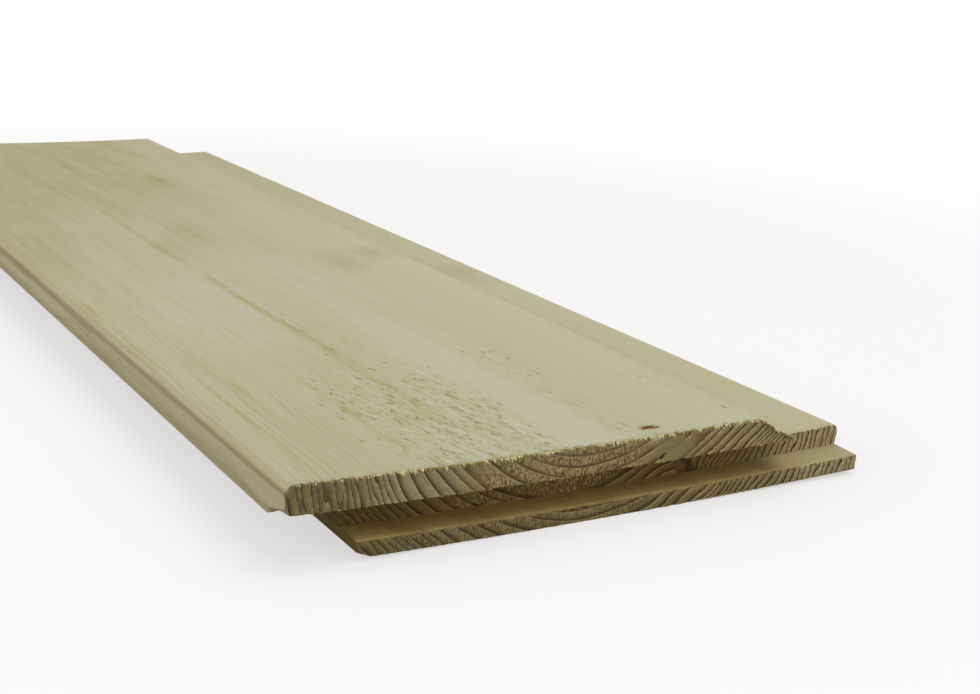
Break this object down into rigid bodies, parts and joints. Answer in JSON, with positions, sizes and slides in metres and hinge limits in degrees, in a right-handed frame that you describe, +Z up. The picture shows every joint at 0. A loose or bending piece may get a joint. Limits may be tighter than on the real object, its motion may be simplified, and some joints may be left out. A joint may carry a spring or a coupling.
{
  "type": "cladding board",
  "caption": "Softwood cladding board with half-lapped long edges, a scooped face edge, a groove across one end and a tongue across the other.",
  "frame": {"origin": "middle of the board's outer box, on the plane of its back", "axes": "+Y along the board from the grooved end to the tongued end, +X across it from the cover lap to the seat lap, +Z up from the back to the face"},
  "size_m": [0.15, 0.4634, 0.018],
  "materials": {
    "softwood": "planed softwood, pale and slightly green, with bare dry end grain"
  },
  "bodies": {
    "root": {"cladding_board": "softwood"}
  },
  "joints": []
}
